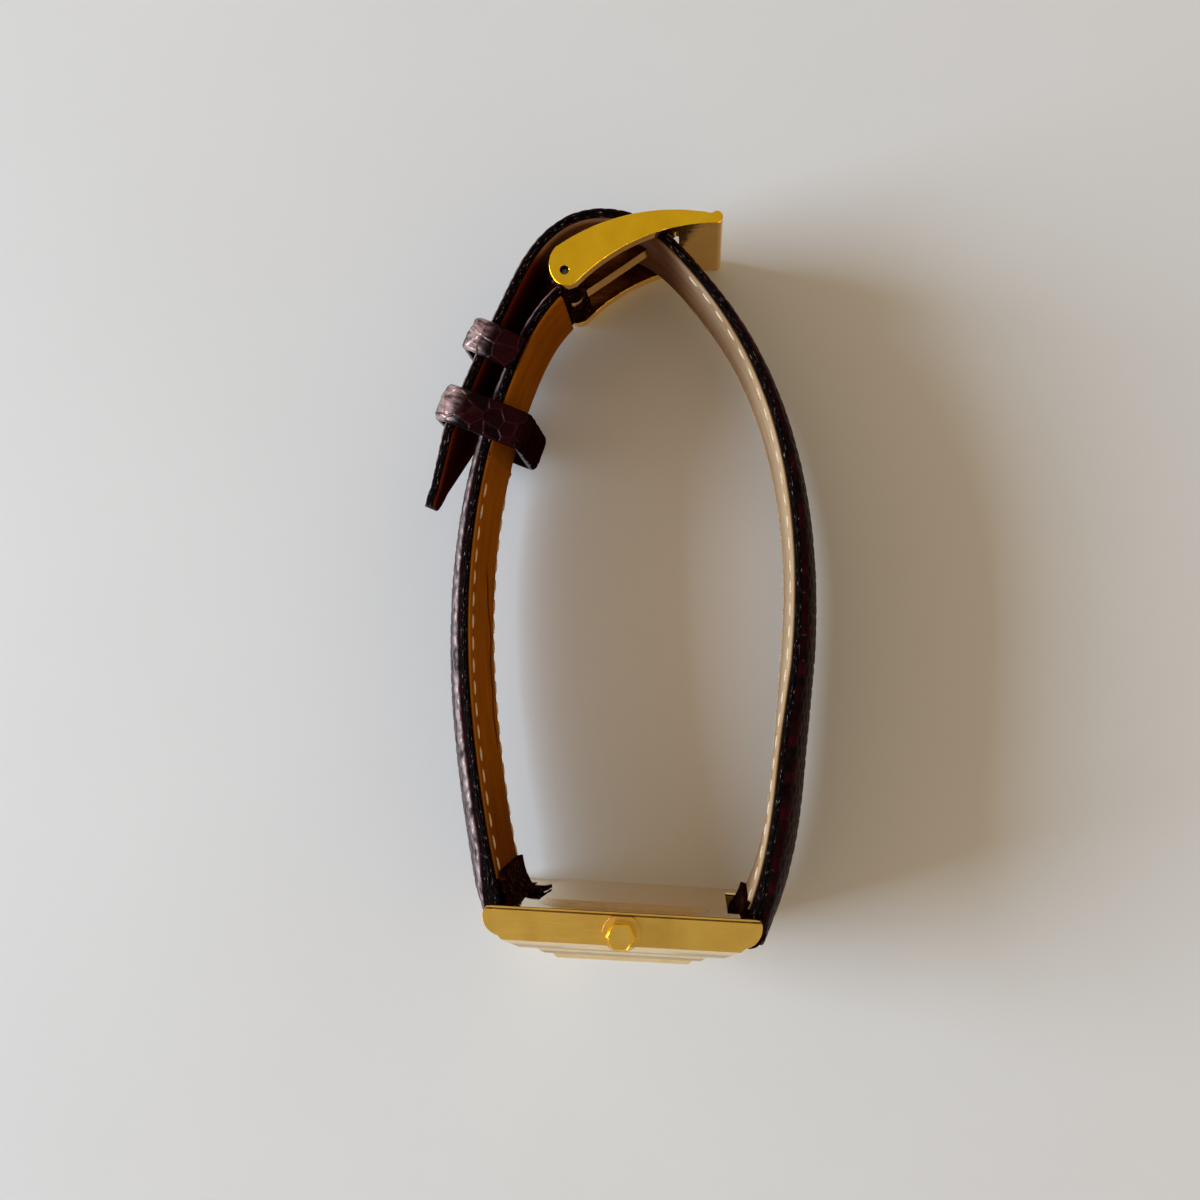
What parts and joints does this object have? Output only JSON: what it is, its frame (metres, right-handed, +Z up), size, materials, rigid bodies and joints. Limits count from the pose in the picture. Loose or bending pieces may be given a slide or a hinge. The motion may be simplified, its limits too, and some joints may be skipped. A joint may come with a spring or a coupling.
{
  "type": "square wristwatch",
  "caption": "Square stepped dress watch with a plain dial, six-sided crown, padded lizard-grain leather strap in a buckled loop, tang buckle and two keepers.",
  "frame": {"origin": "middle of the nine o'clock flank that the watch rests on", "axes": "+Z up through the crown, -Y out of the dial, +X from twelve to six o'clock"},
  "size_m": [0.0435, 0.0793, 0.028],
  "materials": {
    "gold_satin": "satin",
    "gold_polished": "polished",
    "steel": "satin",
    "leather_lizard": "gloss",
    "leather_lining": "matte",
    "crystal_glass": "polished",
    "seal_rubber": "matte",
    "dial_paint": "matte",
    "movement_brass": "satin",
    "magnet": "matte",
    "coil_copper": "satin",
    "board_plastic": "satin",
    "chip_plastic": "matte",
    "holder_plastic": "satin"
  },
  "bodies": {
    "watch": {"case_body": "gold_satin", "case_back": "gold_satin", "back_gasket": "seal_rubber", "crystal": "crystal_glass", "crystal_gasket": "seal_rubber", "crown_tube": "steel", "lug_bar_12_sleeve": "steel", "lug_bar_12_spring": "steel", "lug_bar_6_sleeve": "steel", "lug_bar_6_spring": "steel", "buckle_bar_sleeve": "steel", "buckle_bar_spring": "steel", "strap_12_leather": "leather_lizard", "strap_12_lining": "leather_lining", "strap_6_leather": "leather_lizard", "strap_6_lining": "leather_lining", "fixed_keeper": "leather_lizard", "dial": "dial_paint", "hour_markers": "gold_polished", "movement_holder": "holder_plastic", "main_plate": "movement_brass", "train_bridge": "movement_brass", "stator": "steel", "coil_core": "steel", "coil_winding": "coil_copper", "circuit_board": "board_plastic", "control_chip": "chip_plastic", "quartz_can": "steel", "battery": "steel", "battery_clamp": "steel", "movement_screws": "steel"},
    "setting": {"setting_slide": "steel"},
    "crown": {"crown": "gold_polished", "stem": "steel", "crown_gasket": "seal_rubber"},
    "minute_hand": {"minute_hand": "gold_polished", "centre_wheel": "movement_brass"},
    "hour_hand": {"hour_hand": "gold_polished", "hour_wheel": "movement_brass"},
    "minute_wheel": {"minute_wheel": "movement_brass"},
    "third_wheel": {"third_wheel": "movement_brass"},
    "intermediate_wheel": {"intermediate_wheel": "movement_brass"},
    "rotor": {"rotor": "magnet"},
    "buckle": {"buckle_frame": "gold_polished"},
    "tang": {"buckle_tang": "gold_polished"},
    "sliding_keeper": {"sliding_keeper": "leather_lizard"},
    "lug_bar_12_lower_tip": {"lug_bar_12_lower_tip": "steel"},
    "lug_bar_12_upper_tip": {"lug_bar_12_upper_tip": "steel"},
    "lug_bar_6_lower_tip": {"lug_bar_6_lower_tip": "steel"},
    "lug_bar_6_upper_tip": {"lug_bar_6_upper_tip": "steel"},
    "buckle_bar_lower_tip": {"buckle_bar_lower_tip": "steel"},
    "buckle_bar_upper_tip": {"buckle_bar_upper_tip": "steel"}
  },
  "joints": [
    {"name": "crown_pull", "type": "slide", "parent": "watch", "child": "setting", "axis": [0, 0, 1], "range_m": [0, 0.001]},
    {"name": "crown_turn", "type": "hinge", "parent": "setting", "child": "crown", "pos_m": [0, -0.0004, 0.0265], "axis": [0, 0, 1], "continuous": true},
    {"name": "minute_turn", "type": "hinge", "parent": "watch", "child": "minute_hand", "pos_m": [0, 0, 0.0125], "axis": [0, 1, 0], "continuous": true},
    {"name": "hour_turn", "type": "hinge", "parent": "watch", "child": "hour_hand", "pos_m": [0, 0, 0.0125], "axis": [0, 1, 0], "continuous": true},
    {"name": "minute_wheel_turn", "type": "hinge", "parent": "watch", "child": "minute_wheel", "pos_m": [0.00184, 0, 0.01434], "axis": [0, 1, 0], "continuous": true},
    {"name": "third_turn", "type": "hinge", "parent": "watch", "child": "third_wheel", "pos_m": [-0.00315, 0, 0.01432], "axis": [0, 1, 0], "continuous": true},
    {"name": "intermediate_turn", "type": "hinge", "parent": "watch", "child": "intermediate_wheel", "pos_m": [-0.00396, 0, 0.01131], "axis": [0, 1, 0], "continuous": true},
    {"name": "rotor_turn", "type": "hinge", "parent": "watch", "child": "rotor", "pos_m": [-0.00432, 0, 0.00926], "axis": [0, 1, 0], "continuous": true},
    {"name": "buckle_swing", "type": "hinge", "parent": "watch", "child": "buckle", "pos_m": [-0.00995, 0.067, 0.01], "axis": [0, 0, 1], "range_deg": [0, 4]},
    {"name": "tang_swing", "type": "hinge", "parent": "buckle", "child": "tang", "pos_m": [-0.00995, 0.067, 0.01], "axis": [0, 0, 1], "range_deg": [0, 4]},
    {"name": "keeper_slide", "type": "slide", "parent": "watch", "child": "sliding_keeper", "axis": [-0.3173, -0.9483, 0], "range_m": [-0.001, 0.003]},
    {"name": "lug_bar_12_lower_press", "type": "slide", "parent": "watch", "child": "lug_bar_12_lower_tip", "axis": [0, 0, 1], "range_m": [0, 0.0008]},
    {"name": "lug_bar_12_upper_press", "type": "slide", "parent": "watch", "child": "lug_bar_12_upper_tip", "axis": [0, 0, -1], "range_m": [0, 0.0008]},
    {"name": "lug_bar_6_lower_press", "type": "slide", "parent": "watch", "child": "lug_bar_6_lower_tip", "axis": [0, 0, 1], "range_m": [0, 0.0008]},
    {"name": "lug_bar_6_upper_press", "type": "slide", "parent": "watch", "child": "lug_bar_6_upper_tip", "axis": [0, 0, -1], "range_m": [0, 0.0008]},
    {"name": "buckle_bar_lower_press", "type": "slide", "parent": "watch", "child": "buckle_bar_lower_tip", "axis": [0, 0, 1], "range_m": [0, 0.0008]},
    {"name": "buckle_bar_upper_press", "type": "slide", "parent": "watch", "child": "buckle_bar_upper_tip", "axis": [0, 0, -1], "range_m": [0, 0.0008]}
  ],
  "couplings": [
    {"joint": "hour_turn", "follows": "minute_turn", "ratio": 0.083333},
    {"joint": "minute_wheel_turn", "follows": "minute_turn", "ratio": -0.33333},
    {"joint": "third_turn", "follows": "minute_turn", "ratio": -6},
    {"joint": "intermediate_turn", "follows": "minute_turn", "ratio": 30},
    {"joint": "rotor_turn", "follows": "minute_turn", "ratio": -90}
  ]
}
